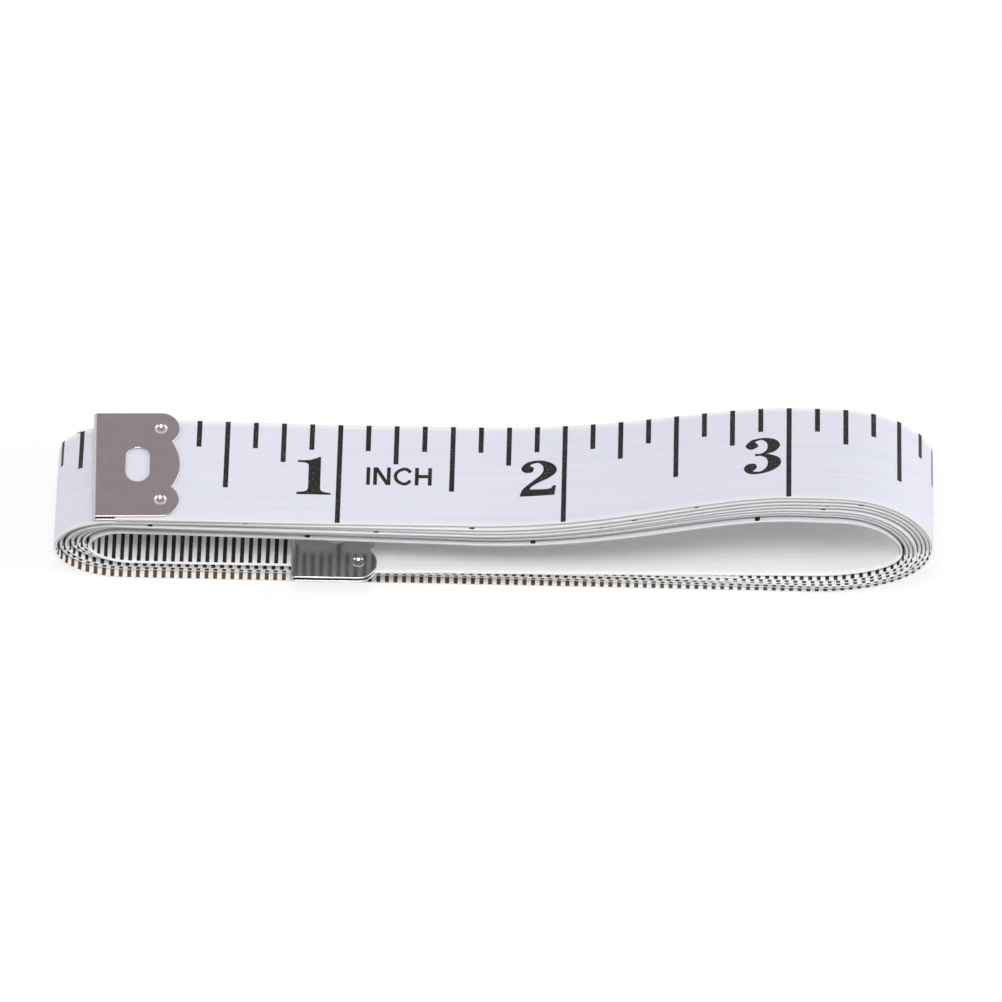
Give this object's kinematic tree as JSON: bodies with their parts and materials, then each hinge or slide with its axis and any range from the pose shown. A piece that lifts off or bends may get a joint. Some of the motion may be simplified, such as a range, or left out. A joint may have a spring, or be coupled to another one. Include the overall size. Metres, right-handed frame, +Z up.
{
  "type": "cloth tape measure",
  "caption": "Soft flat measuring tape wound by hand into a long low loop, with a folded metal clip on each end; both free ends lift off the coil.",
  "frame": {"origin": "middle of the coil's underside, on the surface that it lies on", "axes": "+X along the loop towards its higher end, +Y across the tape away from the side that shows the edges, +Z up"},
  "size_m": [0.0988, 0.0168, 0.0179],
  "materials": {
    "tape": "satin white vinyl over woven glass fibre, printed",
    "clip": "nickel plated sheet steel"
  },
  "bodies": {
    "coil": {"tape_coil": "tape"},
    "outer_end_1": {"outer_end_link_1": "tape"},
    "outer_end_2": {"outer_end_link_2": "tape"},
    "outer_end_3": {"outer_end_link_3": "tape", "outer_clip": "clip"},
    "inner_end": {"inner_end_link": "tape", "inner_clip": "clip"}
  },
  "joints": [
    {"name": "outer_end_lift", "type": "hinge", "parent": "coil", "child": "outer_end_1", "pos_m": [0.02315, 0, 0.01565], "axis": [0, 1, 0], "range_deg": [0, 25]},
    {"name": "outer_end_curl_2", "type": "hinge", "parent": "outer_end_1", "child": "outer_end_2", "pos_m": [0.00315, 0, 0.0123], "axis": [0, 1, 0], "range_deg": [0, 25]},
    {"name": "outer_end_curl_3", "type": "hinge", "parent": "outer_end_2", "child": "outer_end_3", "pos_m": [-0.01685, 0, 0.01203], "axis": [0, 1, 0], "range_deg": [0, 25]},
    {"name": "inner_end_lift", "type": "hinge", "parent": "coil", "child": "inner_end", "pos_m": [0.00775, 0, 0.00344], "axis": [0, 1, 0], "range_deg": [0, 6]}
  ],
  "couplings": [
    {"joint": "outer_end_curl_2", "follows": "outer_end_lift", "ratio": 1},
    {"joint": "outer_end_curl_3", "follows": "outer_end_lift", "ratio": 1}
  ]
}
